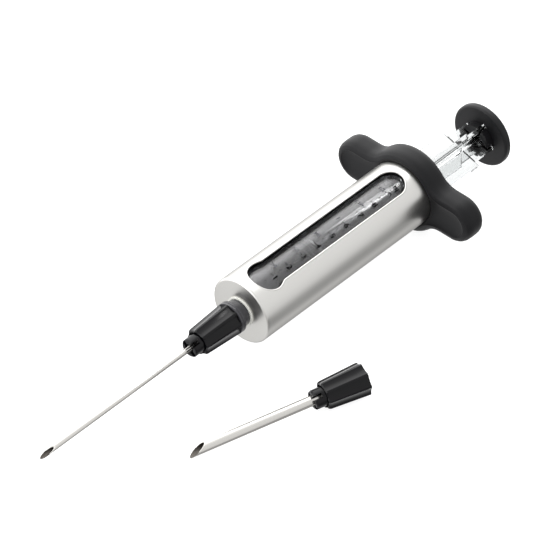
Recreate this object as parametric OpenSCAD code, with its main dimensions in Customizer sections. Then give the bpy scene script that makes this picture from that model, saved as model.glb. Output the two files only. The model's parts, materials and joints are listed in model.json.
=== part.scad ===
// Hand syringe for injecting marinade into meat, with a second, wider needle lying beside it.
// The syringe's axis runs along +X from the needle point to the thumb disc, and +Z is up.

/* [Sleeve] */
// Outer diameter of the steel sleeve
sleeve_d = 33; // [32:0.5:34]
// Wall of the steel sleeve
sleeve_wall = 0.7; // [0.5:0.1:0.8]
// Length of sleeve that shows in front of the grip
sleeve_len = 107.2; // [104:0.2:112]
// Radius of the rounded edge between the sleeve's front face and its side
shoulder_r = 1.2; // [1:0.1:2]

/* [Window] */
// Turn of the window about the axis, from straight up
window_turn = 10.3; // [-20:0.1:20]
// Width of the long slot
slot_w = 13.6; // [11:0.2:14]
// Diameter of the round end of the keyhole
bulb_d = 16.3; // [15:0.1:17]
// Front end of the window
window_x0 = 5; // [4:0.5:8]
// Rear end of the window
window_x1 = 102.6; // [96:0.2:104]
// Radius that blends the round end into the slot
neck_fillet = 4; // [2:0.5:6]

/* [Barrel] */
// Bore of the clear barrel
bore_d = 25.8; // [25.4:0.1:26]
// Wall of the clear barrel
barrel_wall = 1.2; // [1:0.1:1.2]
// Place of the zero mark, where the piston's rim rests when it is pushed home
zero_x = 6.7; // [6.5:0.1:7.5]
// Volume that the scale is marked to, in teaspoons
scale_tsp = 9; // [6:1:9]

/* [Grip] */
// Diameter of the grip's collar
collar_d = 41.8; // [40:0.2:44]
// Distance from the axis to the centre of each wing's round end
wing_reach = 29.7; // [27:0.1:32]
// Width of a wing
wing_w = 21; // [18:0.5:22]
// Thickness of the grip along the axis
grip_t = 12; // [11.5:0.5:14]
// Rounding of the grip's edges
grip_round = 3; // [2:0.5:3]
// Radius where the wings run into the collar
wing_fillet = 10.5; // [8:0.5:13]
// Thickness of the soft skin over the grip's hard core
skin_t = 2.2; // [1.5:0.1:2.4]

/* [Plunger] */
// Place of the piston's front rim as drawn
piston_x = 34.7; // [30:0.1:60]
// Turn of the plunger's cross about the axis
cross_turn = 16.8; // [0:0.1:45]
// Width across the wide cross
cross_w = 22.8; // [20:0.2:23]
// Width across the narrow cross under the disc
cross_w2 = 17.4; // [15:0.2:19]
// Thickness of the cross's fins
fin_t = 2; // [1.5:0.1:2.5]
// Where the wide cross ends
cross_step_x = 148.9; // [146:0.1:152]
// Front face of the thumb disc
disc_x = 162.1; // [158:0.1:166]
// Diameter of the thumb disc
disc_d = 31.7; // [28:0.1:34]
// Thickness of the thumb disc
disc_t = 4; // [3:0.2:6]

/* [Needles] */
// Outer diameter of the fine needle
needle_d = 2.6; // [2:0.1:3]
// Outer diameter of the wide needle
spare_d = 4.8; // [4:0.1:5]
// Wall of both needles
needle_wall = 0.35; // [0.25:0.05:0.4]
// Reach of the fine needle in front of its hub
needle_reach = 92; // [80:0.2:100]
// Reach of the wide needle in front of its hub
spare_reach = 61.2; // [50:0.5:80]
// Length of the fine needle's slanted cut
needle_bevel = 8.6; // [6:0.2:10]
// Length of the wide needle's slanted cut
spare_bevel = 8.4; // [8:0.2:12]
// Turn of the fine needle's slanted cut, from straight up
bevel_turn = 18; // [-30:1:60]
// Turn of the wide needle's slanted cut, from straight up
spare_turn = -21; // [-60:1:60]
// Where the wide needle's hub lies, along X and Y from the sleeve's front
spare_at = [15.9, -59.1];
// Angle of the wide needle to the syringe, in plan
spare_yaw = -18.5; // [-25:0.5:-10]

/* [Hub] */
// Diameter of the hub at its rear rim
hub_d = 15.8; // [15:0.1:16]
// Diameter of the hub at its front shoulder
hub_front_d = 13.4; // [13:0.1:14]
// Length of the fluted body
hub_len = 20.6; // [18:0.2:22]
// Diameter of the nose
nose_d = 9.1; // [8.5:0.1:9.5]
// Length of the nose
nose_len = 5.2; // [4.8:0.2:7]
// Number of flutes
flutes = 8; // [6:1:10]
// Depth of a flute
flute_depth = 0.85; // [0.5:0.05:0.9]

/* [Hidden] */
$fn = 96;
eps = 0.02;

// Radii of the shells, from the outside in
sleeve_r = sleeve_d / 2;
fit_gap = 0.1;
barrel_r = bore_d / 2 + barrel_wall;
liner_r = sleeve_r - sleeve_wall - fit_gap;
liner_bore = barrel_r + fit_gap;
collar_r = collar_d / 2;
axis_h = collar_r;

// Stations along the axis
sleeve_end = sleeve_len + 3;
liner_end = sleeve_len + 4.6;
barrel_end = liner_end + 1.6;
grip_x0 = sleeve_len + 0.05;
grip_x1 = grip_x0 + grip_t;
cap_x0 = barrel_end + 0.1;
collar_x = -4.5;
collar_flange = 2.6;
hub_x = collar_x - collar_flange - 0.1;
socket_len = 10;
nozzle_x = hub_x - socket_len + 1.3;

// Nozzle and thread
nozzle_r = 4.93;
thread_root = 4.45;
thread_pitch = 2;
socket_r = 5;
nozzle_bore = 1.6;
gasket_t = 1.1;

// Scale: one US teaspoon in cubic millimetres, and its length along the bore
tsp_mm3 = 4928.9;
tsp_len = tsp_mm3 / (PI * pow(bore_d / 2, 2));
mark_t = 0.06;

// Piston
seal_len = 10.2;
seal_r = bore_d / 2 - 0.05;
core_r = 10;
cone_len = 3;
stud_r = 4;
stud_gap = 0.06;
cap_bore = cross_w / 2 + 0.35;
spigot_r = 4;
spigot_len = 2.8;

// Hub
socket_mouth = 0.6;
petal_gap = 2.2;
petal_len = 3.7;
flute_r = 8;
groove_depth = 1.4;
seat_r = 2.42;
seat_len = 4.5;

// The wide needle lies on its hub's rear rim and on the heel of its point
spare_len = hub_len + nose_len + spare_reach;
spare_pitch = atan((hub_d - spare_d) / 2 / spare_len);
spare_h = hub_d / 2 * cos(spare_pitch);

// The origin is put under the middle of the whole set's box
tip_x = hub_x - hub_len - nose_len - needle_reach;
rim_side = hub_d / 2 * sqrt(1 - pow(sin(spare_yaw) * cos(spare_pitch), 2));
mid_x = (tip_x + disc_x + disc_t) / 2;
mid_y = (spare_at[1] - rim_side + wing_reach + wing_w / 2) / 2;

// ---- Helpers ----
// Moves the syringe's own frame, with x along its axis, to the set's frame
module placed(x = 0, turn = 0)
    translate([x - mid_x, -mid_y, axis_h]) rotate([turn, 0, 0]) children();
// A body of revolution about x from [radius, x] points
module turned(points) rotate([0, 90, 0]) rotate_extrude() polygon(points);
// A cylinder along x
module rod(x0, x1, r) translate([x0, 0, 0]) rotate([0, 90, 0]) cylinder(h = x1 - x0, r = r);
// Points of a quarter round: centre, radius and the two angles
function arc(c, r, a0, a1, n = 8) = [for (i = [0:n]) c + r * [cos(a0 + (a1 - a0) * i / n),
                                                             sin(a0 + (a1 - a0) * i / n)]];

// ---- Sleeve, liner, barrel ----
// Blends a disc of radius r at the origin into a bar of half-width half along +x
function blend_reach(r, half, fillet) = sqrt(pow(r + fillet, 2) - pow(half + fillet, 2));
module blend(r, half, fillet) {
    reach = blend_reach(r, half, fillet);
    for (up = [-1, 1]) difference() {
        polygon([[0, 0], [reach, up * (half + fillet)], [reach, 0]]);
        translate([reach, up * (half + fillet)]) circle(r = fillet);
    }
}
// Keyhole outline: a long slot with a round, wider front end and blended neck
module keyhole(grow = 0) {
    half = slot_w / 2 + grow;
    bulb_x = window_x0 + bulb_d / 2;
    slot_x = window_x1 - slot_w / 2;
    translate([bulb_x, 0]) {
        circle(r = bulb_d / 2 + grow);
        blend(bulb_d / 2 + grow, half, neck_fillet);
    }
    translate([bulb_x, -half]) square([slot_x - bulb_x, 2 * half]);
    translate([slot_x, 0]) circle(r = half);
}
module window_cut(grow = 0)
    translate([0, 0, bore_d / 4]) linear_extrude(sleeve_r) keyhole(grow);

module steel_sleeve() color("silver")
    placed(0, window_turn) difference() {
        turned(concat([[socket_r + 0.4, 0]],
                      arc([sleeve_r - shoulder_r, shoulder_r], shoulder_r, -90, 0),
                      [[sleeve_r, sleeve_end], [sleeve_r - sleeve_wall, sleeve_end],
                       [sleeve_r - sleeve_wall, shoulder_r], [sleeve_r - shoulder_r, sleeve_wall],
                       [socket_r + 0.4, sleeve_wall]]));
        window_cut();
    }

module barrel_liner() color([0.06, 0.06, 0.07])
    placed(0, window_turn) difference() {
        turned([[socket_r + 1.5, sleeve_wall + fit_gap], [liner_r - 1, sleeve_wall + fit_gap],
                [liner_r, shoulder_r + 1], [liner_r, liner_end], [liner_bore, liner_end],
                [liner_bore, 2.2], [socket_r + 1.5, 2.2]]);
        window_cut(-0.25);
    }

module barrel() color([0.85, 0.88, 0.9, 0.4])
    placed() turned(concat(
        [[nozzle_bore, nozzle_x], [thread_root, nozzle_x]],
        [for (x = [nozzle_x + 1 : thread_pitch : collar_x - 2.5], k = [0:3])
            [k == 0 || k == 3 ? thread_root : nozzle_r, x + k * 0.35]],
        [[thread_root, collar_x - 1], [nozzle_r, collar_x - 0.6], [nozzle_r, 2.4], [barrel_r - 1, 2.4],
         [barrel_r, 3.4], [barrel_r, liner_end + fit_gap], [liner_r, liner_end + fit_gap],
         [liner_r, barrel_end], [bore_d / 2, barrel_end], [bore_d / 2, zero_x], [nozzle_bore, zero_x - cone_len]]));

// Printed graduations: long marks at each teaspoon, short ones at each half
module scale_marks() color([0.1, 0.1, 0.1])
    placed(0, window_turn) for (half_step = [2 : 2 * scale_tsp]) {
        long = half_step % 2 == 0;
        intersection() {
            difference() {
                rod(zero_x + half_step * tsp_len / 2 - 0.2, zero_x + half_step * tsp_len / 2 + 0.2,
                    barrel_r + mark_t);
                rod(0, sleeve_len, barrel_r);
            }
            translate([0, long ? -3.4 : -2.6, 0]) cube([sleeve_len, long ? 1.9 : 1.1, sleeve_r]);
        }
    }

// ---- Grip ----
// Outline of the winged grip across the axis, shrunk all round by inset
module wing_outline(inset = 0) {
    half = wing_w / 2 - inset;
    circle(r = collar_r - inset);
    translate([-wing_reach, -half]) square([2 * wing_reach, 2 * half]);
    for (side = [0, 180]) rotate(side) {
        translate([wing_reach, 0]) circle(r = half);
        blend(collar_r - inset, half, wing_fillet + inset);
    }
}
// The outline as a slab across the axis, from x0 to x1
module wing_slab(x0, x1, inset)
    translate([x0, 0, 0]) rotate([90, 0, 90]) linear_extrude(x1 - x0) wing_outline(inset);
// The slab with stepped-in rounded edges
module wing_body(x0, x1, inset, rounding, steps = 4) {
    wing_slab(x0 + rounding, x1 - rounding, inset);
    for (i = [1 : steps]) {
        deep = rounding * (1 - sin(90 * i / steps));
        in = rounding * (1 - cos(90 * (i - 0.5) / steps));
        wing_slab(x0 + deep, x1 - deep, inset + in);
    }
}

module grip_core() color([0.12, 0.12, 0.13])
    placed() difference() {
        wing_slab(grip_x0 + skin_t, grip_x1 - skin_t, skin_t);
        rod(grip_x0, sleeve_end + fit_gap, sleeve_r + fit_gap);
        rod(sleeve_end, barrel_end + fit_gap, liner_r + fit_gap);
        rod(barrel_end, grip_x1, liner_r - 0.4);
    }

module grip_skin() color([0.05, 0.05, 0.055])
    placed() difference() {
        wing_body(grip_x0, grip_x1, 0, grip_round);
        wing_slab(grip_x0 + skin_t, grip_x1 - skin_t, skin_t);
        rod(grip_x0 - 1, grip_x1 - skin_t, sleeve_r + fit_gap);
        rod(grip_x0, grip_x1 + 1, liner_r - 0.3);
    }

module rear_cap() color([0.1, 0.1, 0.11])
    placed() turned([[cap_bore, cap_x0], [liner_r - 0.5, cap_x0], [liner_r - 0.5, grip_x1 - 0.6],
                     [liner_r - 1, grip_x1 - 0.1], [cap_bore + 0.6, grip_x1 - 0.1],
                     [cap_bore, grip_x1 - 0.7]]);

// ---- Nozzle ----
module nozzle_collar() color([0.82, 0.84, 0.85, 0.6])
    placed() turned([[socket_r, -0.65], [6.6, -0.65], [6.6, collar_x], [hub_d / 2 - 0.4, collar_x],
                     [hub_d / 2, collar_x - 0.4], [hub_d / 2, collar_x - collar_flange + 0.4],
                     [hub_d / 2 - 0.4, collar_x - collar_flange], [socket_r, collar_x - collar_flange]]);

module nozzle_washer() color([0.9, 0.9, 0.9])
    placed() turned([[socket_r, -0.62], [7.4, -0.62], [7.4, -0.03], [socket_r, -0.03]]);

// ---- Piston and plunger ----
module piston_core() color([0.15, 0.15, 0.16])
    placed(piston_x) difference() {
        turned([[0, 1.2], [core_r - 1, 1.2], [core_r, 2.2], [core_r, seal_len - 1.4],
                [core_r - 1.4, seal_len - 1.4], [core_r - 1.4, seal_len], [0, seal_len]]);
        rod(4, seal_len + 1, stud_r + stud_gap);
        rod(4, 6.4, stud_r + 0.9);
    }

module piston_seal() color([0.04, 0.04, 0.04])
    placed(piston_x) turned([
        [0, 0.1 - cone_len], [seal_r, 0], [seal_r, 0.9], [seal_r - 1.1, 1.7], [seal_r - 1.1, 2.8],
        [seal_r, 3.3], [seal_r, 4.2], [seal_r - 1.1, 4.7], [seal_r - 1.1, 5.5], [seal_r, 6],
        [seal_r, 6.9], [seal_r - 1.1, 7.4], [seal_r - 1.1, 8.3], [seal_r, 8.8], [seal_r, seal_len],
        [core_r - 1.35, seal_len], [core_r - 1.35, seal_len - 1.35], [core_r + 0.03, seal_len - 1.35],
        [core_r + 0.03, 2.2], [core_r - 0.97, 1.17], [0, 1.17]]);

// Four fins of width w from x0 to x1
module cross(x0, x1, w)
    for (quarter = [0, 90])
        rotate([quarter, 0, 0]) translate([x0, -w / 2, -fin_t / 2]) cube([x1 - x0, w, fin_t]);

module plunger_rod() color([0.85, 0.9, 0.92, 0.4])
    placed(0, cross_turn) {
        rod(piston_x + 4.2, piston_x + 6.2, stud_r + 0.75);
        rod(piston_x + 6, piston_x + seal_len + 1.4, stud_r);
        rod(piston_x + seal_len + 0.2, piston_x + seal_len + 1.8, cross_w / 2);
        cross(piston_x + seal_len + 1.6, cross_step_x, cross_w);
        cross(cross_step_x - 1, disc_x - 0.03, cross_w2);
        rod(disc_x - 2, disc_x + spigot_len, spigot_r);
    }

module thumb_disc() color([0.06, 0.06, 0.065])
    placed() {
        edge = 1.3;
        rim = disc_d / 2;
        turned(concat([[spigot_r + 0.02, disc_x], [rim - edge, disc_x]],
                      arc([rim - edge, disc_x + edge], edge, -90, 0),
                      arc([rim - edge, disc_x + disc_t - edge], edge, 0, 90),
                      [[0, disc_x + disc_t], [0, disc_x + spigot_len + 0.05],
                       [spigot_r + 0.02, disc_x + spigot_len + 0.05]]));
    }

// ---- Needles: x = 0 at the hub's rear rim, pointing to -x ----
module hub_shape(tube_d) difference() {
    turned([[0, -hub_len - nose_len], [nose_d / 2 - 0.6, -hub_len - nose_len],
            [nose_d / 2, -hub_len - nose_len + 0.6], [nose_d / 2, -hub_len],
            [hub_front_d / 2 - 0.8, -hub_len], [hub_front_d / 2, -hub_len + 1.4],
            [hub_d / 2, 0], [0, 0]]);
    for (i = [0 : flutes - 1])
        rotate([(i + 0.5) * 360 / flutes, 0, 0])
            translate([-hub_len, 0, hub_front_d / 2 - flute_depth + flute_r])
                rotate([0, -atan((hub_d - hub_front_d) / 2 / hub_len), 0])
                    rod(-5, hub_len + 5, flute_r);
    for (quarter = [0, 90])
        rotate([quarter, 0, 0])
            translate([-hub_len - nose_len - 1, -nose_d, -petal_gap / 2])
                cube([petal_len + 1, 2 * nose_d, petal_gap]);
    rod(-socket_len, 1, socket_r);
    rod(-socket_len - gasket_t, -socket_len + eps, socket_r + 0.3);
    rod(-hub_len - nose_len - 1, 0, tube_d / 2 + 0.02);
    rod(-hub_len - nose_len - 1, -hub_len - nose_len + seat_len, seat_r);
    difference() {
        rod(-hub_len - 1, -hub_len + groove_depth, nose_d / 2 + 0.85);
        rod(-hub_len - 2, -hub_len + groove_depth + 1, nose_d / 2);
    }
}
module tube_shape(tube_d, reach, bevel, turn) {
    tip = -hub_len - nose_len - reach;
    difference() {
        rod(tip, -socket_len - gasket_t - 0.3, tube_d / 2);
        rod(tip - 1, 0, tube_d / 2 - needle_wall);
        rotate([turn, 0, 0]) rotate([90, 0, 0]) linear_extrude(2 * tube_d, center = true)
            polygon([[tip - 1, -tube_d / 2 * (1 + 2 / bevel)], [tip - 1, tube_d],
                     [tip + bevel * 1.5, tube_d], [tip + bevel, tube_d / 2]]);
    }
}
module gasket_shape(tube_d)
    turned([[tube_d / 2 + 0.2, -socket_len - gasket_t + 0.05], [socket_r + 0.25, -socket_len - gasket_t + 0.05],
            [socket_r + 0.25, -socket_len - 0.03], [tube_d / 2 + 0.2, -socket_len - 0.03]]);

module needle_hub() color([0.07, 0.07, 0.08]) placed(hub_x, 33) hub_shape(needle_d);
module needle_tube() color([0.75, 0.75, 0.73])
    placed(hub_x) tube_shape(needle_d, needle_reach, needle_bevel, bevel_turn);
module needle_gasket() color([0.9, 0.9, 0.88]) placed(hub_x) gasket_shape(needle_d);

// Lays a needle down beside the syringe
module laid() translate([spare_at[0] - mid_x, spare_at[1] - mid_y, spare_h])
    rotate([0, -spare_pitch, spare_yaw]) children();
module spare_hub() color([0.07, 0.07, 0.08]) laid() hub_shape(spare_d);
module spare_tube() color([0.75, 0.75, 0.73]) laid() tube_shape(spare_d, spare_reach, spare_bevel, spare_turn);
module spare_gasket() color([0.9, 0.9, 0.88]) laid() gasket_shape(spare_d);

steel_sleeve();
barrel_liner();
barrel();
scale_marks();
grip_core();
grip_skin();
rear_cap();
nozzle_collar();
nozzle_washer();
piston_core();
piston_seal();
plunger_rod();
thumb_disc();
needle_hub();
needle_tube();
needle_gasket();
spare_hub();
spare_tube();
spare_gasket();
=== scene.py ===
# %% [markdown]
# # A marinade injector in steel, clear plastic and soft-touch rubber
# A meat injector is a large syringe: a steel sleeve with a window, a clear graduated barrel inside it,
# a winged grip for two fingers, a plunger with a thumb disc, and screw-on needles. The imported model
# holds every size and every joint. This script gives each piece its finished shape and its material.

# %% Load the frame
import json
import math

import bpy
from mathutils import Matrix, Vector

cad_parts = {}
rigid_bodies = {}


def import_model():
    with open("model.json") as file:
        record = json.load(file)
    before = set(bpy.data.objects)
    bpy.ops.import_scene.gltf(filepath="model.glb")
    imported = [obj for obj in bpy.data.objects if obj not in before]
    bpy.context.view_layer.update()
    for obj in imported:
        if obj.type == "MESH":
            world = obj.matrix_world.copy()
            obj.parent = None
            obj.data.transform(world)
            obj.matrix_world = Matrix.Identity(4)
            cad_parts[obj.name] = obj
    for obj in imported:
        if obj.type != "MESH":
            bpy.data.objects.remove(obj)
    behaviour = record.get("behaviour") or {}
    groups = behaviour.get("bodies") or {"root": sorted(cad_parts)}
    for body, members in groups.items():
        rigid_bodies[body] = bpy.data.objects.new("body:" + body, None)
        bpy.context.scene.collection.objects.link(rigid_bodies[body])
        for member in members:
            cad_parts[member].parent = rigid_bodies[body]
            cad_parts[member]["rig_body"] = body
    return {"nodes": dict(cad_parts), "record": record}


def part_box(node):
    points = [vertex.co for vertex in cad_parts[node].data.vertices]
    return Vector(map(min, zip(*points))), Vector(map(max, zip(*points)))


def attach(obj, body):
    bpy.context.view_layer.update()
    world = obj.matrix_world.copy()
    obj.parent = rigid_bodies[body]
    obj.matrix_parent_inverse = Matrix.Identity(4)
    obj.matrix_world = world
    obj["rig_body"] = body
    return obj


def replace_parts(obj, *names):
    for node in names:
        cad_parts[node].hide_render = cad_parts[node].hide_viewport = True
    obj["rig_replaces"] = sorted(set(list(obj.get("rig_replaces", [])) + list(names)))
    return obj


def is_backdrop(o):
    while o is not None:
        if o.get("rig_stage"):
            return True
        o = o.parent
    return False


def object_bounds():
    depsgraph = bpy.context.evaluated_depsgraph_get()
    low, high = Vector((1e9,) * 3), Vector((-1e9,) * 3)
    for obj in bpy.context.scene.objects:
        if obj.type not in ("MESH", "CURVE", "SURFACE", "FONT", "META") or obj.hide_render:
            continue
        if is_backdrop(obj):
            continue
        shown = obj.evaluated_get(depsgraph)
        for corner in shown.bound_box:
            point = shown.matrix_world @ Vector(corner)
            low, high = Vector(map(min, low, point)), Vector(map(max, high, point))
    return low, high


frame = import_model()
cad_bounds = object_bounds()
print("box of the packed model:", cad_bounds)

# %% [markdown]
# Everything is placed from the sleeve. Its front face is x = 0, its axis is y = z = 0, and lengths are
# in millimetres until `at` turns them into a place in the scene. A maker measures a part like this too,
# from one face and one axis, because then no error adds up from piece to piece.

# %% Datum: the sleeve's front face and axis
mm = 0.001
sleeve_low, sleeve_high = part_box("steel_sleeve")
datum = Vector((sleeve_low.x, (sleeve_low.y + sleeve_high.y) / 2, (sleeve_low.z + sleeve_high.z) / 2))
sleeve_r = (sleeve_high.z - sleeve_low.z) / 2 / mm


def at(x, y=0.0, z=0.0):
    """A place in the scene, from millimetres behind the sleeve's front face and off its axis."""
    return datum + Vector((x, y, z)) * mm


def along(node):
    """Where a CAD node starts and ends along the axis, in millimetres from the datum."""
    low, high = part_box(node)
    return (low.x - datum.x) / mm, (high.x - datum.x) / mm


def radius_of(node):
    """Half the height of a CAD node, in millimetres."""
    low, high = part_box(node)
    return (high.z - low.z) / 2 / mm


def from_axis(place):
    """How far a place lies off the syringe's axis, as a vector square to it."""
    return Vector((0, place.y - datum.y, place.z - datum.z))


print("sleeve radius", round(sleeve_r, 2), "mm, grip from", along("grip_skin"))

# %% [markdown]
# ## Three ways of making a shape
# Nearly every piece here is turned, moulded from an outline, or cut from another. A turned piece starts
# as one vertex that is extruded along its profile and then spun about the axis. An outline is traced
# the same way and filled. Cuts are boolean modifiers, and edges are broken with a bevel modifier,
# because a real edge is never sharp and its small round is what catches the light.

# %% Select pieces, or start a fresh one from a single vertex
def select_only(piece, *others):
    """Selects pieces and nothing else; the first one is the active one."""
    bpy.ops.object.select_all(action="DESELECT")
    for each in (piece, *others):
        each.select_set(True)
    bpy.context.view_layer.objects.active = piece


def start_vertex(name, place):
    """A new mesh with one vertex at a place, left in edit mode."""
    bpy.ops.object.select_all(action="DESELECT")
    bpy.ops.mesh.primitive_plane_add(size=mm, location=(0, 0, 0))
    piece = bpy.context.object
    piece.name = name
    bpy.ops.object.mode_set(mode="EDIT")
    bpy.ops.mesh.select_mode(type="VERT")
    bpy.ops.mesh.select_all(action="SELECT")
    bpy.ops.mesh.merge(type="CENTER")
    bpy.ops.transform.translate(value=place)
    return piece


def extrude_along(places):
    """Extrudes the selected vertex through a list of places; the first one is where it is."""
    for here, there in zip(places, places[1:]):
        bpy.ops.mesh.extrude_vertices_move(TRANSFORM_OT_translate={"value": there - here})


def leave_edit():
    """Back to object mode."""
    bpy.ops.object.mode_set(mode="OBJECT")


# %% Turn a piece on the axis
def turned(name, profile, steps=96):
    """A solid of revolution about the syringe's axis from (x, radius) points in millimetres."""
    places = [at(x, 0, r) for x, r in profile]
    piece = start_vertex(name, places[0])
    extrude_along(places)
    bpy.ops.mesh.select_all(action="SELECT")
    bpy.ops.mesh.spin(steps=steps, angle=2 * math.pi, center=at(0), axis=(1, 0, 0))
    bpy.ops.mesh.select_all(action="SELECT")
    bpy.ops.mesh.remove_doubles(threshold=0.001 * mm)
    bpy.ops.mesh.normals_make_consistent(inside=False)
    leave_edit()
    return piece


# %% Mould a slab from an outline
def slab(name, outline, push):
    """A prism: a traced outline of places, filled and extruded by the vector push."""
    piece = start_vertex(name, outline[0])
    extrude_along(outline)
    bpy.ops.mesh.select_all(action="SELECT")
    bpy.ops.mesh.edge_face_add()
    bpy.ops.mesh.extrude_region_move(TRANSFORM_OT_translate={"value": push})
    bpy.ops.mesh.select_all(action="SELECT")
    bpy.ops.mesh.normals_make_consistent(inside=False)
    leave_edit()
    return piece


def arc(cx, cy, r, start, end, steps):
    """Points of an arc in degrees, both ends included."""
    turns = [math.radians(start + (end - start) * i / steps) for i in range(steps + 1)]
    return [(cx + r * math.cos(a), cy + r * math.sin(a)) for a in turns]


# %% Apply a modifier, cut with a piece, break the edges
def applied(piece, kind, **settings):
    """Adds one modifier with its settings and applies it."""
    select_only(piece)
    bpy.ops.object.modifier_add(type=kind)
    modifier = piece.modifiers[-1]
    for key, value in settings.items():
        setattr(modifier, key, value)
    bpy.ops.object.modifier_apply(modifier=modifier.name)


def cut(piece, *cutters, operation="DIFFERENCE"):
    """Takes cutters out of a piece (or joins them to it), and deletes the cutters."""
    for cutter in cutters:
        applied(piece, "BOOLEAN", object=cutter, operation=operation, solver="EXACT")
        bpy.data.objects.remove(cutter)


def broken_edges(piece, width, segments=3, angle=30):
    """Rounds every edge sharper than an angle, then shades the piece smooth up to it."""
    applied(piece, "BEVEL", width=width * mm, segments=segments, limit_method="ANGLE",
            angle_limit=math.radians(angle), use_clamp_overlap=True, harden_normals=False)
    smooth(piece, angle)


def smooth(piece, angle=30):
    """Shades a piece smooth across every edge blunter than an angle in degrees."""
    select_only(piece)
    bpy.ops.object.shade_smooth_by_angle(angle=math.radians(angle))


def rod(name, x0, x1, r, steps=48):
    """A plain round bar on the axis: a cutter, or the start of a piece."""
    bpy.ops.object.select_all(action="DESELECT")
    bpy.ops.mesh.primitive_cylinder_add(vertices=steps, radius=r * mm, depth=(x1 - x0) * mm,
                                        location=at((x0 + x1) / 2), rotation=(0, math.pi / 2, 0))
    bar = bpy.context.object
    bar.name = name
    bpy.ops.object.transform_apply(location=True, rotation=True, scale=True)
    return bar


# %% [markdown]
# ## Materials
# Each material is named for what the real one is. `tone` turns a colour as it is written for the web
# into the linear light that the renderer adds up. `node` adds one shader node with its settings and
# its links, so a material reads as a short list of what the surface does.

# %% Colour and node helpers
def tone(code):
    """An sRGB hex colour as linear RGBA."""
    parts = [int(code[i:i + 2], 16) / 255 for i in (1, 3, 5)]
    return [c / 12.92 if c <= 0.04045 else ((c + 0.055) / 1.055) ** 2.4 for c in parts] + [1.0]


def new_material(name, **sockets):
    """A material with a principled surface, and its uniform values on the shader's own sockets."""
    material = bpy.data.materials.new(name)
    material.use_nodes = True
    shader = material.node_tree.nodes["Principled BSDF"]
    for key, value in sockets.items():
        shader.inputs[key.replace("_", " ")].default_value = value
    return material, shader


def node(material, kind, links=None, **settings):
    """Adds one node; links maps its inputs to (node, output) pairs or to plain values."""
    made = material.node_tree.nodes.new(kind)
    for key, value in settings.items():
        setattr(made, key, value)
    for socket, source in (links or {}).items():
        if isinstance(source, tuple) and hasattr(source[0], "outputs"):
            material.node_tree.links.new(source[0].outputs[source[1]], made.inputs[socket])
        else:
            made.inputs[socket].default_value = source
    return made


def wire(material, source, output, target, socket):
    """Links one output to one input, for a socket of a node that is there already."""
    material.node_tree.links.new(source.outputs[output], target.inputs[socket])


# %% Brushed stainless steel
# Grade 304 tube, satin brushed round its girth: fine scratches spread a highlight into a soft streak.
steel, steel_shader = new_material("brushed_stainless", Base_Color=tone("#cecdca"), Metallic=1.0,
                                   Roughness=0.3, Specular_Tint=(0.35, 0.35, 0.35, 1))
place = node(steel, "ShaderNodeTexCoord")
# A satin belt leaves scratches of roughly 0.05 mm, a typical value. Here they are drawn from 0.3 mm
# down, so they show.
stretch = node(steel, "ShaderNodeMapping", {"Vector": (place, "Object"), "Scale": (3000, 260, 260)})
scratches = node(steel, "ShaderNodeTexNoise", {"Vector": (stretch, "Vector"), "Scale": 1.0,
                                               "Detail": 3.0, "Roughness": 0.6})
rough_band = node(steel, "ShaderNodeMapRange", {"Value": (scratches, "Fac"), "To Min": 0.24,
                                                "To Max": 0.38})
wire(steel, rough_band, "Result", steel_shader, "Roughness")
brushed = node(steel, "ShaderNodeBump", {"Height": (scratches, "Fac"), "Strength": 0.12,
                                         "Distance": 0.02 * mm})
wire(steel, brushed, "Normal", steel_shader, "Normal")

# %% Drawn needle tube
# Stainless capillary tube, drawn and polished: long faint draw lines, a tighter and warmer gleam. Real
# draw lines are too fine to show, so these are 0.4 mm wide.
needle_steel, needle_shader = new_material("drawn_stainless_tube", Base_Color=tone("#c8c6c2"),
                                           Metallic=1.0, Roughness=0.22,
                                           Specular_Tint=(0.15, 0.15, 0.15, 1))
place = node(needle_steel, "ShaderNodeTexCoord")
stretch = node(needle_steel, "ShaderNodeMapping", {"Vector": (place, "Object"),
                                                   "Scale": (60, 2500, 2500)})
lines = node(needle_steel, "ShaderNodeTexNoise", {"Vector": (stretch, "Vector"), "Scale": 1.0,
                                                  "Detail": 2.0})
band = node(needle_steel, "ShaderNodeMapRange", {"Value": (lines, "Fac"), "To Min": 0.16,
                                                 "To Max": 0.3})
wire(needle_steel, band, "Result", needle_shader, "Roughness")
drawn = node(needle_steel, "ShaderNodeBump", {"Height": (lines, "Fac"), "Strength": 0.08,
                                              "Distance": 0.02 * mm})
wire(needle_steel, drawn, "Normal", needle_shader, "Normal")

# %% The pale lining, with painted shade at its front
# What the real bore is made of isn't known. A pale matt finish is a choice for looks: it makes the
# barrel read as light grey although the liner's edge is black. The front third is painted shade, darker
# and mottled, which sets that off.
fade_start, fade_end = 20, 40   # millimetres behind the sleeve's front face
pale_lining, lining_shader = new_material("pale_polypropylene_painted_shade", Base_Color=tone("#f2f2f4"),
                                          Roughness=0.6)
place = node(pale_lining, "ShaderNodeTexCoord")
reach = node(pale_lining, "ShaderNodeSeparateXYZ", {"Vector": (place, "Object")})
# Painted shade: the lining's front third is darker and mottled, and turns pale from fade_start to fade_end.
behind = node(pale_lining, "ShaderNodeMapRange", {"Value": (reach, "X"), "From Min": at(fade_start).x,
                                                  "From Max": at(fade_end).x})
ripple = node(pale_lining, "ShaderNodeTexNoise", {"Vector": (place, "Object"), "Scale": 350.0,
                                                  "Detail": 4.0})
lining_shade_mottle = node(pale_lining, "ShaderNodeMix", {0: (ripple, "Fac"), 6: tone("#3c3a40"),
                                             7: tone("#a0a0a6")}, data_type="RGBA")
lined = node(pale_lining, "ShaderNodeMix", {0: (behind, "Result"), 6: (lining_shade_mottle, 2), 7: tone("#f4f4f6")},
             data_type="RGBA")
wire(pale_lining, lined, 2, lining_shader, "Base Color")
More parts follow.
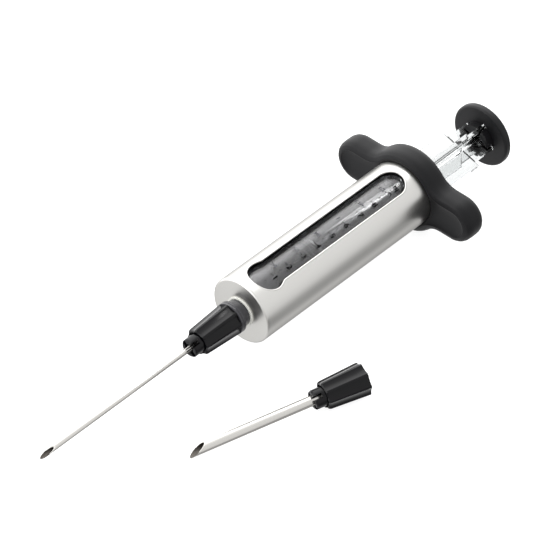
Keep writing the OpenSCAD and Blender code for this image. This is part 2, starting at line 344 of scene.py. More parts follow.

# %% The unpolished bore and its painted shade
# Inside, the tubes are drawn darker and duller than outside. The darker colour is painted shade, for the
# shadow inside the tube. How the real bores look isn't known: this is a choice for looks, so that a
# needle's mouth reads as a dark eye.
shaded_bore, bore_shader = new_material("unpolished_bore_painted_shade", Base_Color=tone("#55524e"), Metallic=1.0,
                                      Roughness=0.5)
place = node(shaded_bore, "ShaderNodeTexCoord")
pits = node(shaded_bore, "ShaderNodeTexNoise", {"Vector": (place, "Object"), "Scale": 3000.0,
                                              "Detail": 3.0})
# Painted shade: a dark grey, mottled at random.
bore_shade_mottle = node(shaded_bore, "ShaderNodeMix", {0: (pits, "Fac"), 6: tone("#35322f"), 7: tone("#6b6762")},
             data_type="RGBA")
wire(shaded_bore, bore_shade_mottle, 2, bore_shader, "Base Color")

# %% Black plastics and rubbers
# They share one recipe: near-black colour, or dark grey on the collar as painted reflection, with a
# faint cloud in it, and a moulded skin whose grain and gloss tell them apart. The grain is a
# spark-eroded mould texture, or the flow marks of a gloss tool.


def black_moulding(name, colour, light, roughness, spread, grain, depth, gloss=0.5):
    """A black moulded material: colour range, roughness and its spread, grain size and depth in mm."""
    material, shader = new_material(name, Base_Color=tone(colour), Roughness=roughness,
                                    Specular_IOR_Level=gloss)
    where = node(material, "ShaderNodeTexCoord")
    cloud = node(material, "ShaderNodeTexNoise", {"Vector": (where, "Object"), "Scale": 90.0,
                                                  "Detail": 3.0})
    mix = node(material, "ShaderNodeMix", {0: (cloud, "Fac"), 6: tone(colour), 7: tone(light)},
               data_type="RGBA")
    wire(material, mix, 2, shader, "Base Color")
    dull = node(material, "ShaderNodeMapRange", {"Value": (cloud, "Fac"), "To Min": roughness - spread,
                                                 "To Max": roughness + spread})
    wire(material, dull, "Result", shader, "Roughness")
    skin = node(material, "ShaderNodeTexNoise", {"Vector": (where, "Object"), "Scale": 1 / (grain * mm),
                                                 "Detail": 2.0})
    bump = node(material, "ShaderNodeBump", {"Height": (skin, "Fac"), "Strength": 0.3,
                                             "Distance": depth * mm})
    wire(material, bump, "Normal", shader, "Normal")
    return material


soft_touch = black_moulding("soft_touch_tpe", "#0b0b0d", "#121214", roughness=0.48, spread=0.05,
                            grain=0.35, depth=0.03, gloss=0.18)
hard_black = black_moulding("black_abs", "#0a0a0c", "#101012", roughness=0.38, spread=0.05,
                            grain=0.5, depth=0.02, gloss=0.25)
disc_black = black_moulding("satin_black_abs", "#0d0d0f", "#131315", roughness=0.42, spread=0.05,
                            grain=0.4, depth=0.03, gloss=0.22)
gloss_black = black_moulding("gloss_black_nylon", "#050507", "#0a0a0c", roughness=0.17, spread=0.05,
                             grain=1.2, depth=0.02, gloss=0.2)
seal_rubber = black_moulding("moulded_epdm", "#060607", "#0b0b0c", roughness=0.42, spread=0.05,
                             grain=0.5, depth=0.02, gloss=0.2)
# Painted reflection: the collar's dark grey stands for the dark surroundings that a clear flange mirrors.
collar_painted_reflection = black_moulding("grey_polycarbonate_painted_reflection", "#2a2a2d", "#38383c", roughness=0.16, spread=0.04,
                       grain=0.6, depth=0.01)
liner_black = black_moulding("black_liner_abs", "#050506", "#09090a", roughness=0.4, spread=0.04,
                             grain=0.6, depth=0.01, gloss=0.15)

# %% Clear copolyester
# The barrel and the rod are taken to be clear copolyester, a glassy food-safe plastic of index 1.57.
# Faint flow lines from the mould wobble what is seen through it.


def clear_plastic(name, colour, clearness, roughness, wobble, index=1.57):
    """A clear moulded material: its tint, how much light passes, and how strongly flow lines bend it."""
    material, shader = new_material(name, Base_Color=tone(colour), Roughness=roughness, IOR=index)
    shader.inputs["Transmission Weight"].default_value = clearness
    where = node(material, "ShaderNodeTexCoord")
    flow = node(material, "ShaderNodeTexNoise", {"Vector": (where, "Object"), "Scale": 160.0,
                                                 "Detail": 1.0})
    bump = node(material, "ShaderNodeBump", {"Height": (flow, "Fac"), "Strength": wobble,
                                             "Distance": 0.1 * mm})
    wire(material, bump, "Normal", shader, "Normal")
    return material


# The barrel's index is lowered for looks to 1.49, the low end of clear moulding plastics: less glare
# then lies over the seal and the bore.
barrel_clear = clear_plastic("clear_copolyester", "#f8f8fa", clearness=0.985, roughness=0.05,
                             wobble=0.03, index=1.49)
rod_clear = clear_plastic("clear_rod_copolyester", "#d6d8d8", clearness=1.0, roughness=0.06,
                          wobble=0.1)

# %% Silicone and printing ink
silicone, silicone_shader = new_material("translucent_silicone", Base_Color=tone("#dcdcd6"),
                                         Roughness=0.4)
silicone_shader.inputs["Subsurface Weight"].default_value = 0.3
silicone_shader.inputs["Subsurface Radius"].default_value = (1 * mm, 1 * mm, 1 * mm)
place = node(silicone, "ShaderNodeTexCoord")
cloud = node(silicone, "ShaderNodeTexNoise", {"Vector": (place, "Object"), "Scale": 400.0})
soft = node(silicone, "ShaderNodeBump", {"Height": (cloud, "Fac"), "Strength": 0.2,
                                         "Distance": 0.05 * mm})
wire(silicone, soft, "Normal", silicone_shader, "Normal")


def ink(name, colour, light):
    """Pad-printed ink: a thin even coat with a slightly worn, mottled tone."""
    material, shader = new_material(name, Base_Color=tone(colour), Roughness=0.8,
                                    Specular_IOR_Level=0.0)
    where = node(material, "ShaderNodeTexCoord")
    wear = node(material, "ShaderNodeTexNoise", {"Vector": (where, "Object"), "Scale": 1500.0,
                                                 "Detail": 3.0})
    mix = node(material, "ShaderNodeMix", {0: (wear, "Fac"), 6: tone(colour), 7: tone(light)},
               data_type="RGBA")
    wire(material, mix, 2, shader, "Base Color")
    return material


black_ink = ink("black_pad_print", "#0a0a0a", "#1c1c1c")
grey_ink = ink("grey_pad_print", "#4c4c4f", "#68686b")


def dressed(piece, material, body, *replaced):
    """Gives a piece its material, or None if it has one, its body, and the CAD nodes it stands for."""
    if material:
        piece.data.materials.clear()
        piece.data.materials.append(material)
    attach(piece, body)
    if replaced:
        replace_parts(piece, *replaced)
    print(piece.name, len(piece.data.polygons), "faces")
    return piece


# %% [markdown]
# ## The window's keyhole
# The slot is cut straight through the side of the tube, with a wider round end towards the needle.
# Its outline is arcs joined by tangents, drawn in the plane that the cutter looks along, and `grow`
# offsets it, so the steel, its rolled rim and the black liner are cut from one drawing.

# %% The keyhole outline
window_turn = math.radians(10.3)   # the window faces a little to the front of straight up
slot_half = 6.8
bulb_r = 8.15
window_front, window_back = 5.0, 102.6
neck_r = 4.0
cutter_low, cutter_height = 7, 20   # the cutter starts above the axis and ends outside the sleeve
bulb_x = window_front + bulb_r
slot_end = window_back - slot_half


def keyhole(grow):
    """The outline as (x, u) points in millimetres, anticlockwise from the neck."""
    half, bulb, neck = slot_half + grow, bulb_r + grow, neck_r - grow
    rise = half + neck
    reach = math.sqrt((bulb + neck) ** 2 - rise ** 2)
    lean = math.degrees(math.atan2(rise, reach))
    points = arc(bulb_x, 0, bulb, lean, 360 - lean, 40)
    points += arc(bulb_x + reach, -rise, neck, 180 - lean, 90, 6)[1:]
    points += arc(slot_end, 0, half, -90, 90, 28)
    points += arc(bulb_x + reach, rise, neck, 270, 180 + lean, 6)
    return points[:-1]


def through_window(x, u, height):
    """A place u across the window's middle line and a height above the axis, square to the window."""
    across = Vector((0, math.cos(window_turn), math.sin(window_turn)))
    up = Vector((0, -math.sin(window_turn), math.cos(window_turn)))
    return at(x) + (across * u + up * height) * mm


def window_cutter(grow):
    """A cutter in the keyhole's outline, offset by grow millimetres."""
    outline = [through_window(x, u, cutter_low) for x, u in keyhole(grow)]
    return slab("cutter", outline, through_window(0, 0, cutter_height) - through_window(0, 0, 0))


# %% [markdown]
# ## The steel sleeve
# A drawn tube with a closed front: it could be a primitive cylinder with an inset front, but spinning
# the true section gives the wall, the front and the rounded shoulder at once. The window's edge on the
# real one is rolled over, which shows as a bright line, so a round bead is swept along the cut.

# %% Turn the sleeve, cut the window, roll its rim
sleeve_wall = 0.7
shoulder = 1.2
front_hole = 5.4
sleeve_x1 = along("steel_sleeve")[1]
rim_r = 0.4
rim_radius = sleeve_r - rim_r * 0.6   # the bead's middle lies a little below the steel's surface

section = [(0, front_hole), *arc(shoulder, sleeve_r - shoulder, shoulder, 180, 90, 6),
           (sleeve_x1, sleeve_r), (sleeve_x1, sleeve_r - sleeve_wall),
           (shoulder, sleeve_r - sleeve_wall), (sleeve_wall, sleeve_r - shoulder),
           (sleeve_wall, front_hole), (0, front_hole)]
sleeve = turned("sleeve_shell", section, steps=180)
cut(sleeve, window_cutter(rim_r))

rim_path = [through_window(x, u, math.sqrt(rim_radius ** 2 - u ** 2)) for x, u in keyhole(rim_r)]
rim = start_vertex("window_rim", rim_path[0])
extrude_along(rim_path)
bpy.ops.mesh.select_all(action="SELECT")
bpy.ops.mesh.edge_face_add()
bpy.ops.mesh.delete(type="ONLY_FACE")
leave_edit()
bpy.ops.object.convert(target="CURVE")
rim.data.bevel_depth = rim_r * mm
rim.data.bevel_resolution = 4
bpy.ops.object.convert(target="MESH")
smooth(rim, 60)
smooth(sleeve, 25)
select_only(sleeve, rim)
bpy.ops.object.join()
dressed(sleeve, steel, "root", "steel_sleeve")

# %% The black liner
# A moulded tube inside the steel. Its window edge shows as a deep black band, and its bore is pale.
liner_x0, liner_x1 = along("barrel_liner")
liner_r = radius_of("barrel_liner")
barrel_r = 14.1
liner_bore_r = barrel_r + 0.1
liner_hole_r, liner_front = 6.5, 2.2
liner = turned("liner_tube", [(liner_x0, liner_hole_r), (liner_x0, liner_r - 1),
                              (liner_x0 + 1, liner_r), (liner_x1, liner_r),
                              (liner_x1, liner_bore_r), (liner_front, liner_bore_r),
                              (liner_front, liner_hole_r), (liner_x0, liner_hole_r)], steps=160)
cut(liner, window_cutter(0.1))
smooth(liner, 25)
dressed(liner, liner_black, "root", "barrel_liner")
# The bore faces take the pale lining, whose front third is painted shade.
liner.data.materials.append(pale_lining)
pale_from, pale_within = at(3).x, (barrel_r + 0.4) * mm
for face in liner.data.polygons:
    in_bore = face.center.x > pale_from and from_axis(face.center).length < pale_within
    if in_bore and abs(face.normal.x) < 0.5:
        face.material_index = 1

# %% [markdown]
# ## The barrel, its nozzle and its scale
# The barrel is one clear moulding: a bore, a shallow cone at the front and a threaded nozzle. It is
# spun in one piece so that the light meets only real surfaces. The scale is printed on its outside:
# teaspoons along one side of the window and fluid ounces along the other.

# %% Spin the barrel
barrel_x0, barrel_x1 = along("barrel")
bore_r, hole_r = 12.9, 1.6                 # the bore and the hole through the nozzle
nozzle_r, root_r = 4.93, 4.45              # the thread's crests and its root
front_x, cone_x, zero_x = 2.4, 3.7, 6.7    # outer front face, and the cone inside up to the bore
flange_x, flange_outer = 111.9, radius_of("barrel")
thread_turns, thread_pitch = 4, 2
thread = []
for turn_index in range(thread_turns):
    crest = barrel_x0 + 1.4 + turn_index * thread_pitch
    thread += [(crest - 0.5, root_r), (crest - 0.15, nozzle_r), (crest + 0.15, nozzle_r),
               (crest + 0.5, root_r)]
barrel_section = [(barrel_x0, hole_r), (barrel_x0, 4.1), (barrel_x0 + 0.35, root_r), *thread,
                  (-5.6, root_r), (-5.1, nozzle_r), (front_x, nozzle_r), (front_x, barrel_r - 1),
                  *arc(front_x + 1, barrel_r - 1, 1, 180, 90, 5)[1:],
                  (flange_x, barrel_r), (flange_x, flange_outer), (barrel_x1, flange_outer),
                  (barrel_x1, bore_r), (zero_x, bore_r), (cone_x, hole_r), (barrel_x0, hole_r)]
barrel = turned("clear_barrel", barrel_section, steps=160)
smooth(barrel, 30)
dressed(barrel, barrel_clear, "root", "barrel")

# %% Print the scale
teaspoon_volume = 4928.9   # cubic millimetres in a US teaspoon
teaspoon = teaspoon_volume / (math.pi * bore_r ** 2)
draft_r = barrel_r + 2     # the marks are drawn flat at this height, then laid on the barrel
ink_r = barrel_r + 0.04
print("a teaspoon is", round(teaspoon, 2), "mm of bore")


def numeral(word, x, u, size):
    """A printed numeral beside the window's middle line, read from the needle end."""
    bpy.ops.object.select_all(action="DESELECT")
    bpy.ops.object.text_add(location=(0, 0, 0))
    label = bpy.context.object
    label.data.body = word
    label.data.align_x = "CENTER"
    label.data.align_y = "CENTER"
    label.data.size = size * mm
    label.data.offset = 0.11 * mm   # thickens the strokes
    bpy.ops.object.convert(target="MESH")
    across = through_window(0, 1, 0) - through_window(0, 0, 0)
    up = through_window(0, 0, 1) - through_window(0, 0, 0)
    ahead = Vector((1, 0, 0))
    facing = Matrix((-across.normalized(), ahead, up.normalized())).transposed().to_4x4()
    label.matrix_world = Matrix.Translation(through_window(x, u, draft_r)) @ facing
    return label


def stroke(x, u0, u1, width):
    """A printed line across the window from u0 to u1."""
    corners = [through_window(x + dx, u, draft_r)
               for dx, u in ((-width / 2, u0), (width / 2, u0), (width / 2, u1), (-width / 2, u1))]
    line = start_vertex("stroke", corners[0])
    extrude_along(corners)
    bpy.ops.mesh.select_all(action="SELECT")
    bpy.ops.mesh.edge_face_add()
    bpy.ops.mesh.subdivide(number_cuts=3)
    leave_edit()
    return line


def printed(name, marks, material, *replaced):
    """Joins marks and lays them on the barrel, a hair above its surface."""
    select_only(*marks)
    bpy.ops.object.join()
    scale = bpy.context.object
    bpy.ops.object.transform_apply(location=True, rotation=True, scale=True)
    scale.name = name
    up = (through_window(0, 0, 1) - through_window(0, 0, 0)).normalized()
    for vertex in scale.data.vertices:
        off_axis = vertex.co - at(0)
        u = off_axis.y * up.z - off_axis.z * up.y
        height = math.sqrt((ink_r * mm) ** 2 - u ** 2)
        vertex.co = Vector((vertex.co.x, at(0).y + up.z * u + up.y * height,
                            at(0).z - up.y * u + up.z * height))
    return dressed(scale, material, "root", *replaced)


# Places across the window, in millimetres off its middle line: the numerals, and where strokes start
# and end.
tsp_u, tsp_start, tsp_half_end, tsp_full_end = -3.2, -2.2, -1.4, -0.4
ounce_u, ounce_start, ounce_end = 2.0, 4.3, 5.1
teaspoons = [numeral(str(n), zero_x + n * teaspoon, tsp_u, 4.0) for n in range(1, 10)]
teaspoons += [stroke(zero_x + n * teaspoon / 2, tsp_start, tsp_half_end if n % 2 else tsp_full_end, 0.3)
              for n in range(1, 19)]
teaspoons += [numeral("tsp", zero_x + 9.6 * teaspoon, tsp_u, 3.0)]
printed("teaspoon_scale", teaspoons, black_ink, "scale_marks")
quarter_ounce = 1.5 * teaspoon
ounces = [numeral(word, zero_x + n * quarter_ounce, ounce_u, 2.6)
          for n, word in ((1, "1/4"), (2, "1/2"), (3, "3/4"), (4, "1"), (5, "1 1/4"), (6, "1 1/2"))]
ounces += [stroke(zero_x + n * quarter_ounce / 2, ounce_start, ounce_end, 0.2) for n in range(1, 13)]
printed("ounce_scale", ounces, grey_ink)

# %% [markdown]
# ## The piston and its seal
# The seal is a rubber cup with three ribs that wipe the bore. It is turned, and its edges are rounded
# so each rib shows a line of light through the barrel.

# %% Turn the seal and the core
seal_x0 = along("piston_seal")[0]
piston_x = seal_x0 + 2.9    # behind the seal's cone; the piston and the rod are measured from here
seal_r = bore_r - 0.05
groove_r = seal_r - 1.4
core_r, lip_r, seal_back = 10.0, 8.7, piston_x + 9.6
seal_section = [(seal_x0, 0), (piston_x, seal_r)]
for rib in (0.0, 2.65, 5.3, 7.95):
    seal_section += [(piston_x + rib + 0.9, seal_r), (piston_x + rib + 1.35, groove_r),
                     (piston_x + rib + 2.2, groove_r), (piston_x + rib + 2.65, seal_r)]
seal_section = seal_section[:-2] + [(seal_back, seal_r - 0.3), (seal_back, lip_r),
                                    (piston_x + 8.9, lip_r), (piston_x + 8.9, core_r),
                                    (piston_x + 1.2, core_r), (piston_x + 1.2, 0)]
seal = turned("ribbed_seal", seal_section, steps=128)
broken_edges(seal, 0.18, 3)
dressed(seal, seal_rubber, "piston", "piston_seal")

# %% Keep the hidden pieces as packed
# The cores, the washer and the gaskets hardly show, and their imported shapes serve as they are.
kept_nodes = []


def keep(node_name, material):
    """A CAD node whose shape is already right: only its material slots are filled."""
    shape = frame["nodes"][node_name]
    for slot in shape.material_slots:
        slot.material = material
    kept_nodes.append(node_name)


keep("piston_core", hard_black)
keep("grip_core", hard_black)
keep("nozzle_washer", silicone)
keep("needle_gasket", silicone)
keep("spare_gasket", silicone)
print("kept as packed:", kept_nodes)

# %% [markdown]
# ## The winged grip
# Two wings for the fingers run out of a round collar. The real one is a hard core under a skin of
# soft rubber, with a wide rounded side and a dished front whose edge is crisp. The outline is arcs
# joined by tangents; insets on its two faces build the rounded side step by step, then the dish.

# %% The wing outline
collar_r = radius_of("grip_skin")
grip_low, grip_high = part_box("grip_skin")
wing_half = 10.5
wing_reach = (grip_high.y - grip_low.y) / 2 / mm - wing_half
wing_fillet = 10.5
grip_x0, grip_x1 = along("grip_skin")


def wings():
    """The grip's outline as (y, z) points, anticlockwise seen from behind."""
    rise = wing_half + wing_fillet
    reach = math.sqrt((collar_r + wing_fillet) ** 2 - rise ** 2)
    lean = math.degrees(math.atan2(rise, reach))
    points = []
    for side in (0, 180):
        half_turn = arc(reach, -rise, wing_fillet, 180 - lean, 90, 12)
        half_turn += arc(wing_reach, 0, wing_half, -90, 90, 36)
        half_turn += arc(reach, rise, wing_fillet, 270, 180 + lean, 12)
        half_turn += arc(0, 0, collar_r, lean, 180 - lean, 26)[1:-1]
        flip = 1 if side == 0 else -1
        points += [(flip * y, flip * z) for y, z in half_turn]
    return points


print("wings reach", round(wing_reach + wing_half, 2), "mm each way; outline of", len(wings()), "points")

# %% Mould the skin
# Each pair is one inset: how far inward and how far outward, in millimetres.
side_steps = [(0.12, 1.6), (0.42, 1.3), (0.75, 0.95), (1.0, 0.55), (0.9, 0.18)]
front_dish = [(0.2, 0.0), (0.3, -0.3), (0.8, -0.3), (1.2, -0.25), (1.4, -0.15), (1.4, -0.1)]
back_dish = [(1.0, -0.05)]
back_wall, cap_hole_r = 2.2, 15.4


def select_face_towards(piece, direction):
    """In edit mode, selects the largest face that looks in a direction."""
    bpy.ops.mesh.select_mode(type="FACE")
    bpy.ops.mesh.select_all(action="DESELECT")
    leave_edit()
    best = max((f for f in piece.data.polygons if f.normal.dot(direction) > 0.95), key=lambda f: f.area)
    best.select = True
    bpy.ops.object.mode_set(mode="EDIT")


rise_total = sum(depth for _, depth in side_steps)
grip_mid = [at(grip_x0 + rise_total, y, z) for y, z in wings()]
grip = slab("grip_rubber", grip_mid, Vector(((grip_x1 - grip_x0 - 2 * rise_total) * mm, 0, 0)))
bpy.ops.object.mode_set(mode="EDIT")
for way in (Vector((-1, 0, 0)), Vector((1, 0, 0))):
    select_face_towards(grip, way)
    for inward, outward in side_steps + (front_dish if way.x < 0 else back_dish):
        bpy.ops.mesh.inset(thickness=inward * mm, depth=outward * mm, use_even_offset=True)
leave_edit()
cut(grip, rod("hole", grip_x0 - 2, grip_x1 - back_wall, sleeve_r + 0.25, 128),
    rod("hole", grip_x0, grip_x1 + 2, cap_hole_r, 96))
smooth(grip, 22)
dressed(grip, soft_touch, "root", "grip_skin")

# %% [markdown]
# ## Rear cap and nozzle collar
# The rear cap is a black ring that closes the grip round the rod. The nozzle collar is a plastic
# flange in dark grey, painted reflection of the dark parts round it: the hub screws up against it.
# Both are turned, with their edges broken.

# %% Turn the rear cap and the collar
cap_x0, cap_x1 = along("rear_cap")
cap_r = radius_of("rear_cap")
cap_bore = 11.75
cap = turned("cap_ring", [(cap_x0, cap_bore), (cap_x0, cap_r), (cap_x1 - 0.3, cap_r),
                          (cap_x1, cap_r - 0.5), (cap_x1, cap_bore + 2.1),
                          (cap_x1 - 0.5, cap_bore + 1.8), (cap_x1 - 0.5, cap_bore + 0.9),
                          (cap_x1 - 0.9, cap_bore), (cap_x0, cap_bore)], 96)
broken_edges(cap, 0.15, 2)
dressed(cap, hard_black, "root", "rear_cap")

flange_x0, flange_x1 = along("nozzle_collar")
flange_r = radius_of("nozzle_collar")
flange_bore, step_r, step_back = 5.0, 6.6, flange_x0 + 2.6
collar = turned("collar_flange_painted_reflection", [(flange_x0, flange_bore), (flange_x0, flange_r),
                                  (flange_x0 + 1.1, flange_r), (flange_x0 + 1.25, flange_r - 0.35),
                                  (flange_x0 + 1.4, flange_r), (step_back, flange_r),
                                  (step_back, step_r), (flange_x1, step_r),
                                  (flange_x1, flange_bore), (flange_x0, flange_bore)], 96)
broken_edges(collar, 0.2, 3)
dressed(collar, collar_painted_reflection, "root", "nozzle_collar")

# %% [markdown]
# ## The plunger
# The rod is a clear moulded cross: four fins, wide along the barrel and narrower where it plugs into
# the thumb disc. One fin outline is extruded for each width and the lengths are joined by a union, so
# the plastic is one solid and light crosses only its true outside. The disc is turned.

# %% Mould the rod
cross_turn = math.radians(16.8)
fin = 2.0
fin_span, neck_span = 22.8, 17.4
neck_x = 148.9
stud_r, stud_head_r, plate_r = 4.0, 4.75, 11.4
disc_x0, disc_x1 = along("thumb_disc")


def around(y, z, turn):
    """Turns a (y, z) point about the axis."""
    return y * math.cos(turn) - z * math.sin(turn), y * math.sin(turn) + z * math.cos(turn)


def fins(name, x0, x1, width, thickness):
    """A length of cross-shaped bar."""
    w, t = width / 2, thickness / 2
    corners = [(w, -t), (w, t), (t, t), (t, w), (-t, w), (-t, t), (-w, t), (-w, -t), (-t, -t), (-t, -w),
               (t, -w), (t, -t)]
    outline = [at(x0, *around(y, z, cross_turn)) for y, z in corners]
    return slab(name, outline, Vector(((x1 - x0) * mm, 0, 0)))


rod_piece = fins("clear_cross_rod", piston_x + 11.4, neck_x, fin_span, fin)
cut(rod_piece, fins("neck", neck_x - 1, disc_x0 - 0.05, neck_span, fin),
    rod("plate", piston_x + 10.4, piston_x + 12.0, plate_r, 96),
    rod("stud", piston_x + 6, piston_x + 11, stud_r),
    rod("stud_head", piston_x + 4.2, piston_x + 6.2, stud_head_r),
    rod("spigot", disc_x0 - 2, disc_x0 + 2.75, stud_r), operation="UNION")
broken_edges(rod_piece, 0.22, 3)
dressed(rod_piece, rod_clear, "plunger", "plunger_rod")

# %% Turn the thumb disc
disc_r = radius_of("thumb_disc")
edge = 1.3
spigot_hole_r, spigot_hole_end = 4.05, disc_x0 + 2.9
disc_section = [(disc_x0, spigot_hole_r), (disc_x0, disc_r - edge),
                *arc(disc_x0 + edge, disc_r - edge, edge, 180, 90, 8),
                *arc(disc_x1 - edge, disc_r - edge, edge, 90, 0, 8), (disc_x1 - 0.15, disc_r - 4),
                (disc_x1 - 0.35, disc_r - 8), (disc_x1 - 0.4, 0), (spigot_hole_end, 0),
                (spigot_hole_end, spigot_hole_r), (disc_x0, spigot_hole_r)]
disc = turned("thumb_rest", disc_section, 128)
socket_boss = rod("boss", disc_x0 - 3.4, disc_x0 + 0.5, 7.6, 64)
cut(socket_boss, fins("slots", disc_x0 - 5, disc_x0 + 1, 30, fin + 0.5),
    rod("eye", disc_x0 - 5, disc_x0 + 1, 4.3))
cut(disc, socket_boss, operation="UNION")
smooth(disc, 25)
dressed(disc, disc_black, "plunger", "thumb_disc")

# %% [markdown]
# ## The needles
# Each needle is a steel tube moulded into a black nylon hub. The hub's body has eight shallow flutes
# for the fingers, its nose ends in four petals, and its back is an open socket for the nozzle. The hub
# is modelled once, on the axis, and copied for the wide needle.

# %% The fluted body
socket = next(m for m in frame["record"]["mounts"] if m["name"] == "spare_socket")
hub_x0, hub_x1 = along("needle_hub")
hub_r = radius_of("needle_hub")
nose_r, nose_len, body_len = 4.55, 5.2, 20.6
front_r, chamfer_len = 6.7, 1.4
pocket_gap, pocket_depth = 0.85, 1.4       # the ring-shaped pocket round the nose
socket_r, socket_len = 5.0, 10             # the open back that takes the nozzle
seat_r, seat_len = 2.42, 4.5               # the mouth that takes the tube
petal_gap, petal_len = 1.1, 4.7            # half the width of a slot between petals, and its length
flute_count, flute_depth, flute_r = 8, 0.85, 8.0
hub_turn = math.radians(33)


def fluted(radius):
    """The body's outline at a radius: ridges with shallow hollows between them, as (y, z) points."""
    centre = radius - flute_depth + flute_r
    half = math.acos((radius ** 2 + centre ** 2 - flute_r ** 2) / (2 * radius * centre))
    chord = math.asin(radius * math.sin(half) / flute_r)
    points = []
    for index in range(flute_count):
        middle = (index + 0.5) * 2 * math.pi / flute_count + hub_turn + math.pi / 2
        for k in range(-4, 5):
            swing = chord * k / 4
            y, z = centre - flute_r * math.cos(swing), flute_r * math.sin(swing)
            points.append(around(y, z, middle))
        ridge = 2 * math.pi / flute_count - 2 * half
        for k in (1, 2, 3):
            points.append(around(radius, 0, middle + half + ridge * k / 4))
    return points


hub = slab("fluted_hub", [at(hub_x1, y, z) for y, z in fluted(hub_r)],
           Vector((-(body_len - chamfer_len) * mm, 0, 0)))
bpy.ops.object.mode_set(mode="EDIT")
select_face_towards(hub, Vector((-1, 0, 0)))
bpy.ops.transform.resize(value=(1, front_r / hub_r, front_r / hub_r), center_override=at(hub_x1))
for forward, shrink in ((0.9, 0.965), (0.5, 0.915)):
    bpy.ops.mesh.extrude_region_move(TRANSFORM_OT_translate={"value": Vector((-forward * mm, 0, 0))})
    bpy.ops.transform.resize(value=(1, shrink, shrink), center_override=at(hub_x1))
leave_edit()
print("hub from", round(hub_x0, 2), "to", round(hub_x1, 2))

# %% The nose, its petals and the socket
step_x = hub_x0 + nose_len
cut(hub, rod("pocket", step_x - 1, step_x + pocket_depth, nose_r + pocket_gap, 60))
nose = turned("nose", [(hub_x0, 0), (hub_x0, nose_r - 0.6), (hub_x0 + 0.6, nose_r),
                       (step_x + 3, nose_r), (step_x + 3, 0), (hub_x0, 0)], 64)
cut(hub, nose, operation="UNION")
for quarter in (0, math.pi / 2):
    corners = ((-9, -petal_gap), (9, -petal_gap), (9, petal_gap), (-9, petal_gap))
    gap = [at(hub_x0 - 1, *around(y, z, hub_turn + quarter)) for y, z in corners]
    cut(hub, slab("gap", gap, Vector((petal_len * mm, 0, 0))))
cut(hub, rod("socket", hub_x1 - socket_len, hub_x1 + 1, socket_r, 64),
    rod("seat", hub_x0 - 1, hub_x0 + seat_len, seat_r, 64))
broken_edges(hub, 0.16, 3, 28)
dressed(hub, gloss_black, "needle", "needle_hub")


# %% The two tubes
tube_wall = 0.35


def tube(name, radius, x0, x1, bevel, turn):
    """A hollow tube on the axis. Its point slants over a length of bevel, and is turned by an angle."""
    inner_r = radius - tube_wall
    shell = turned(name, [(x0, inner_r), (x0, radius), (x1, radius), (x1, inner_r), (x0, inner_r)], 64)
    slope = 2 * radius / bevel
    side = [(x0 - 1, -radius - slope), (x0 + 4 * bevel, -radius + slope * 4 * bevel),
            (x0 - 1, radius * 12)]
    block = slab("slant", [at(x, *around(-8, z, turn)) for x, z in side],
                 at(0, *around(16, 0, turn)) - at(0))
    cut(shell, block)
    broken_edges(shell, 0.04, 2, 40)
    shell.data.materials.append(needle_steel)
    # The second material is the bore's painted shade, for the faces that look inward.
    shell.data.materials.append(shaded_bore)
    for face in shell.data.polygons:
        outward = from_axis(face.center)
        looks_inward = face.normal.dot(outward.normalized()) < -0.3
        if looks_inward and outward.length < (radius - tube_wall / 2) * mm:
            face.material_index = 1
    return shell


tube_x0, tube_x1 = along("needle_tube")
fine = tube("fine_needle", radius_of("needle_tube"), tube_x0, tube_x1, bevel=8.6,
            turn=math.radians(18))
dressed(fine, None, "needle", "needle_tube")

# %% Lay the wide needle down
# The lying needle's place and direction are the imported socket's, whose place is its middle. A frame is
# built from them, and the copied hub and the wide tube are moved into it, then the move is applied to
# their meshes.
back = Vector(socket["axis"])
sideways = Vector((0, 0, 1)).cross(back).normalized()
laid_frame = Matrix((back, sideways, back.cross(sideways))).transposed().to_4x4()
laid_frame.translation = Vector(socket["pos_m"]) + back * (socket_len / 2) * mm
to_laid = laid_frame @ Matrix.Translation(-at(hub_x1))


def lay_down(piece, name):
    """Moves a piece that was made on the axis to the lying needle's place, and names it."""
    select_only(piece)
    piece.name = name
    piece.matrix_world = to_laid
    bpy.ops.object.transform_apply(location=True, rotation=True, scale=True)
    return piece


select_only(hub)
bpy.ops.object.duplicate()
spare_hub = bpy.context.object
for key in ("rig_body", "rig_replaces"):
    if key in spare_hub:
        del spare_hub[key]
spare_hub.parent = None
dressed(lay_down(spare_hub, "fluted_hub_wide"), gloss_black, "spare_needle", "spare_hub")
spare_r, spare_reach = 2.4, 61.2
spare_x0 = hub_x1 - body_len - nose_len - spare_reach
wide = tube("wide_needle", spare_r, spare_x0, hub_x1 - 11.4, bevel=8.4, turn=math.radians(-21))
dressed(lay_down(wide, "wide_needle"), None, "spare_needle", "spare_tube")

# %% [markdown]
# ## Floor, light and camera
# A product on white lies on a lit table, so hardly a shadow is left. What the steel mirrors is set apart
# from that: the room is a ring of bright and dark round the syringe's axis. One dark strip low on the
# near side draws the grey streak down the sleeve. A bright sector high on the far side draws the long
# gleam, and a narrow strip light overhead sharpens it. The table doesn't show in mirrors, so the ring
# carries on below it.

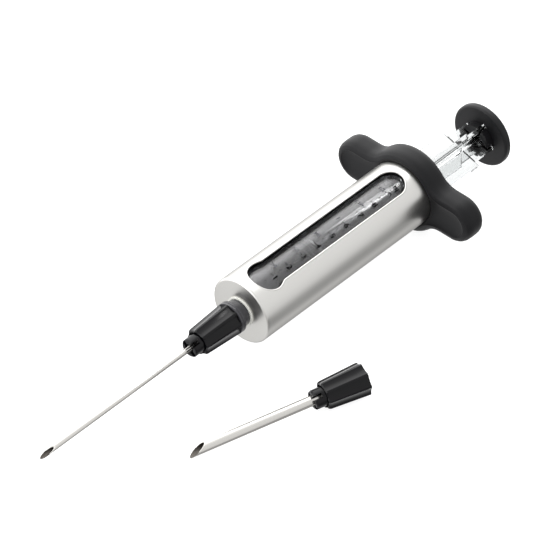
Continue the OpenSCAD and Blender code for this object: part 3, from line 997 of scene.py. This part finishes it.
# %% Floor
bpy.ops.object.select_all(action="DESELECT")
bpy.ops.mesh.primitive_plane_add(size=6, location=(0, 0, cad_bounds[0].z - 0.02 * mm))
floor = bpy.context.object
floor.name = "floor"
floor_white, floor_shader = new_material("lit_table", Base_Color=tone("#9a9a9a"), Roughness=0.9,
                                         Emission_Color=(1, 1, 1, 1), Emission_Strength=0.86)
place = node(floor_white, "ShaderNodeTexCoord")
paper = node(floor_white, "ShaderNodeTexNoise", {"Vector": (place, "Object"), "Scale": 800.0})
tooth = node(floor_white, "ShaderNodeBump", {"Height": (paper, "Fac"), "Strength": 0.02,
                                             "Distance": 0.1 * mm})
wire(floor_white, tooth, "Normal", floor_shader, "Normal")
floor.data.materials.append(floor_white)
floor.visible_glossy = False
floor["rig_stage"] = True

# %% World
world = bpy.data.worlds.new("studio")
bpy.context.scene.world = world
world.use_nodes = True
world.node_tree.nodes.clear()
direction = node(world, "ShaderNodeTexCoord")
split = node(world, "ShaderNodeSeparateXYZ", {"Vector": (direction, "Generated")})
# The angle round the syringe's axis: 0 on the far side, a quarter turn straight up
round_axis = node(world, "ShaderNodeMath", {0: (split, "Z"), 1: (split, "Y")}, operation="ARCTAN2")
share = node(world, "ShaderNodeMapRange", {"Value": (round_axis, 0), "From Min": -math.pi,
                                           "From Max": math.pi})
ring = node(world, "ShaderNodeValToRGB", {"Fac": (share, "Result")})
# Each pair is an angle in degrees and a brightness. The ramp holds them as shares of full_level.
brightness = [(-180, 1.0), (-172, 0.95), (-158, 0.42), (-134, 0.42), (-118, 0.95), (-100, 1.1),
              (-35, 1.1), (-20, 2.0), (15, 2.6), (35, 3.4), (62, 3.4), (80, 1.7), (110, 1.15),
              (165, 1.1), (180, 1.0)]
full_level = 4.0
ramp = ring.color_ramp
for extra_stop in list(ramp.elements)[1:]:
    ramp.elements.remove(extra_stop)
for index, (turn, level) in enumerate(brightness):
    position, grey = (turn + 180) / 360, level / full_level
    stop = ramp.elements[0] if index == 0 else ramp.elements.new(position)
    stop.position, stop.color = position, (grey, grey, grey, 1)
room = node(world, "ShaderNodeBackground", {"Color": (ring, "Color"), "Strength": full_level})
node(world, "ShaderNodeOutputWorld", {"Surface": (room, "Background")})


# %% The strip light
def softbox(name, towards, distance, width, height, power):
    """A rectangular light out along a direction from the sleeve's middle, facing it."""
    aim = at(50)
    spot = aim + Vector(towards).normalized() * distance
    bpy.ops.object.light_add(type="AREA", location=spot)
    lamp = bpy.context.object
    lamp.name = name
    lamp.data.shape = "RECTANGLE"
    lamp.data.size, lamp.data.size_y = width, height
    lamp.data.energy = power
    lamp.rotation_euler = (aim - spot).to_track_quat("-Z", "Y").to_euler()
    return lamp


softbox("strip_light", (0.55, 0.07, 0.83), distance=1.5, width=0.5, height=0.12, power=1.6)

# %% Camera
view = bpy.data.cameras.new("camera")
view.sensor_width = 36
view.lens = 291.9
azimuth, elevation, roll = math.radians(-48.48), math.radians(42.91), math.radians(1.42)
target, lens_distance = at(27.4, 2.94, 0), 2.0006
back_to_lens = Vector((math.sin(azimuth) * math.cos(elevation), -math.cos(azimuth) * math.cos(elevation),
                       math.sin(elevation)))
right = Vector((math.cos(azimuth), math.sin(azimuth), 0))
upward = back_to_lens.cross(right)
rolled_right = right * math.cos(roll) + upward * math.sin(roll)
rolled_up = upward * math.cos(roll) - right * math.sin(roll)
camera = bpy.data.objects.new("camera", view)
bpy.context.scene.collection.objects.link(camera)
pose = Matrix((rolled_right, rolled_up, back_to_lens)).transposed().to_4x4()
pose.translation = target + back_to_lens * lens_distance
camera.matrix_world = pose
view.clip_start, view.clip_end = 0.1, 20
bpy.context.scene.camera = camera
bpy.context.scene.view_settings.view_transform = "Standard"

# %% Sizes
visual_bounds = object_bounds()
boxes = {"cad": [list(corner) for corner in cad_bounds], "visual": [list(corner) for corner in visual_bounds]}
for key, (low, high) in boxes.items():
    print(key, [round(v * 1000, 2) for v in low], [round(v * 1000, 2) for v in high])
